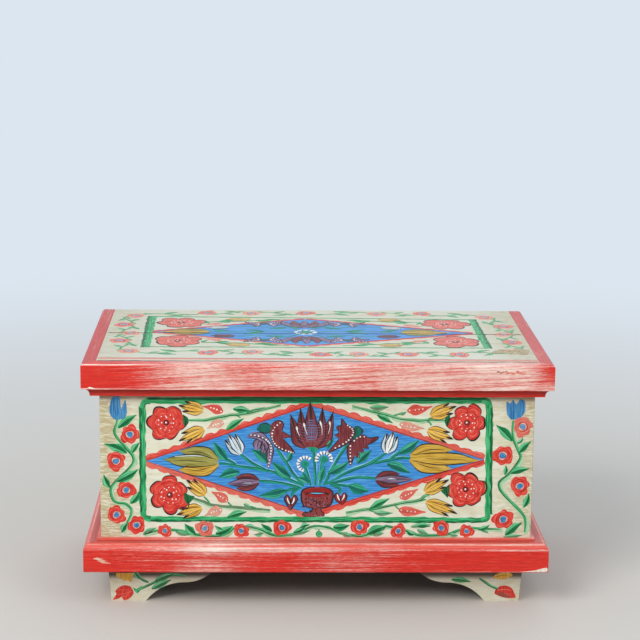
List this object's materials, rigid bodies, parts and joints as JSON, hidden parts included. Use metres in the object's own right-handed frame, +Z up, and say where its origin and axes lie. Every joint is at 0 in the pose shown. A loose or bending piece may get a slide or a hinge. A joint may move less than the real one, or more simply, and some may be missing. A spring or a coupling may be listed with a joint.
{
  "type": "folk art chest",
  "caption": "Small painted pine chest with a hinged moulded lid, moulded base and sawn bracket feet, for papers and keepsakes; traditional flower ornament.",
  "frame": {"origin": "on the floor, under the middle of the lid", "axes": "+X to the right of a person facing the front, +Y to the back, +Z up"},
  "size_m": [0.56, 0.32, 0.304],
  "materials": {
    "cream_paint": "satin ivory paint on pine, hand painted with flowers",
    "red_paint": "worn red paint on pine, streaked along its length",
    "bare_pine": "planed bare pine",
    "hinge_steel": "dull steel",
    "nail_iron": "dark iron"
  },
  "bodies": {
    "chest": {"back_board": "cream_paint", "back_board_nails": "nail_iron", "base_front_moulding": "red_paint", "base_left_moulding": "red_paint", "base_moulding_nails": "nail_iron", "base_right_moulding": "red_paint", "bottom_board": "bare_pine", "bottom_board_nails": "nail_iron", "foot_back_left_face": "cream_paint", "foot_back_left_side": "cream_paint", "foot_back_right_face": "cream_paint", "foot_back_right_side": "cream_paint", "foot_block_back_left": "bare_pine", "foot_block_back_right": "bare_pine", "foot_block_front_left": "bare_pine", "foot_block_front_right": "bare_pine", "foot_front_left_face": "cream_paint", "foot_front_left_side": "cream_paint", "foot_front_right_face": "cream_paint", "foot_front_right_side": "cream_paint", "front_board": "cream_paint", "front_board_nails": "nail_iron", "hinge_body_screws": "hinge_steel", "hinge_left_body_leaf": "hinge_steel", "hinge_left_pin": "hinge_steel", "hinge_right_body_leaf": "hinge_steel", "hinge_right_pin": "hinge_steel", "left_end_board": "cream_paint", "right_end_board": "cream_paint"},
    "lid": {"hinge_left_lid_leaf": "hinge_steel", "hinge_lid_screws": "hinge_steel", "hinge_right_lid_leaf": "hinge_steel", "lid_back_board": "cream_paint", "lid_batten_nails": "nail_iron", "lid_front_board": "cream_paint", "lid_front_moulding": "red_paint", "lid_left_batten": "bare_pine", "lid_left_moulding": "red_paint", "lid_moulding_nails": "nail_iron", "lid_right_batten": "bare_pine", "lid_right_moulding": "red_paint"}
  },
  "joints": [
    {"name": "lid_hinge", "type": "hinge", "parent": "chest", "child": "lid", "pos_m": [0, 0.1507, 0.286], "axis": [-1, 0, 0], "range_deg": [0, 105]}
  ]
}
